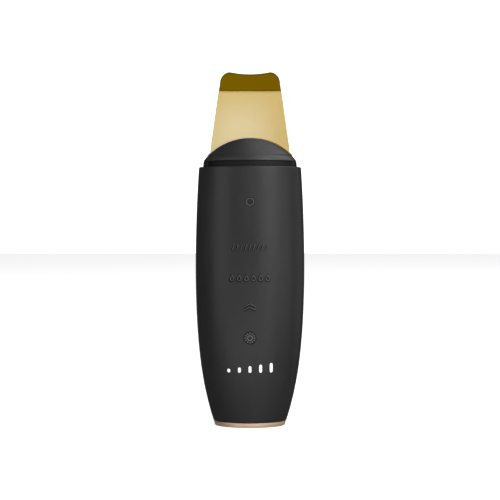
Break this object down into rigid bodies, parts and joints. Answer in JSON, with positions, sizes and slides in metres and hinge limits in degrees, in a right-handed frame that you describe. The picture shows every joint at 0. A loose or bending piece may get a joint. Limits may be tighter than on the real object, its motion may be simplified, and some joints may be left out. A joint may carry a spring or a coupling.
{
  "type": "ultrasonic skin scrubber",
  "caption": "Oval handheld skin scrubber that stands on a metal base ring, with a bent metal spade blade, sprung keys, mode marks and a covered charging port.",
  "frame": {"origin": "centre of the base, on the surface that the scrubber stands on", "axes": "+Z from the base to the blade tip; the front, with the keys and marks, faces -Y; +X is to the right as seen from the front"},
  "size_m": [0.0492, 0.0266, 0.1586],
  "materials": {
    "body_plastic": "near-black, satin",
    "neck_plastic": "black, satin",
    "nose_plastic": "near-black, semi-gloss",
    "mark_plastic": "smoke, a little lighter than the body",
    "print_white": "white print",
    "blade_gold": "gold-plated steel, polished",
    "ring_rose": "rose-gold plated, turned",
    "base_black": "black, matt",
    "silicone_black": "matt silicone",
    "silicone_clear": "translucent silicone",
    "chassis_white": "moulded",
    "guide_clear": "frosted clear",
    "board_green": "solder mask",
    "ribbon_amber": "film",
    "chip_black": "moulded",
    "led_white": "clear dome",
    "ferrite": "sintered",
    "cell_blue": "wrapped cell",
    "foam_grey": "foam",
    "steel": "zinc plated",
    "nickel": "nickel plated",
    "alloy": "turned",
    "ceramic": "piezo ceramic",
    "brass_foil": "sheet",
    "wire_red": "insulated wire"
  },
  "bodies": {
    "case": {"front_shell": "body_plastic", "rear_shell": "body_plastic", "seam_seals": "silicone_black", "neck_ring": "neck_plastic", "nose_front": "nose_plastic", "nose_rear": "nose_plastic", "blade_trim": "blade_gold", "blade": "blade_gold", "base_ring": "ring_rose", "base_plate": "base_black", "power_sleeve": "silicone_clear", "power_switch": "nickel", "light_sleeve": "silicone_clear", "light_switch": "nickel", "scrub_mark": "mark_plastic", "moisture_mark": "mark_plastic", "lift_mark": "mark_plastic", "badge_marks": "print_white", "light_guides": "guide_clear", "chassis": "chassis_white", "battery": "cell_blue", "battery_pad": "foam_grey", "battery_strap": "chassis_white", "strap_screws": "steel", "battery_leads": "wire_red", "main_board": "board_green", "control_chip": "chip_black", "mode_leds": "led_white", "driver_coil": "ferrite", "board_screws": "steel", "charge_board": "board_green", "charge_socket": "nickel", "board_ribbon": "ribbon_amber", "base_screws": "steel", "horn": "alloy", "piezo_rings": "ceramic", "electrodes": "brass_foil", "back_mass": "steel", "clamp_bolt": "steel", "horn_mount": "silicone_black", "blade_screws": "steel", "horn_leads": "wire_red"},
    "power_button": {"power_button": "body_plastic"},
    "light_button": {"light_button": "body_plastic"},
    "port_cover": {"port_cover": "silicone_black"}
  },
  "joints": [
    {"name": "power_press", "type": "slide", "parent": "case", "child": "power_button", "axis": [0, 1, 0], "range_m": [0, 0.00025], "stiffness_N_per_m": 2000, "springref_m": -0.0004, "deforming": ["power_sleeve"]},
    {"name": "light_press", "type": "slide", "parent": "case", "child": "light_button", "axis": [0, 1, 0], "range_m": [0, 0.00025], "stiffness_N_per_m": 2000, "springref_m": -0.0004, "deforming": ["light_sleeve"]},
    {"name": "cover_hinge", "type": "hinge", "parent": "case", "child": "port_cover", "pos_m": [0.006, 0, 0.00082], "axis": [0, -1, 0], "range_deg": [0, 100]}
  ]
}
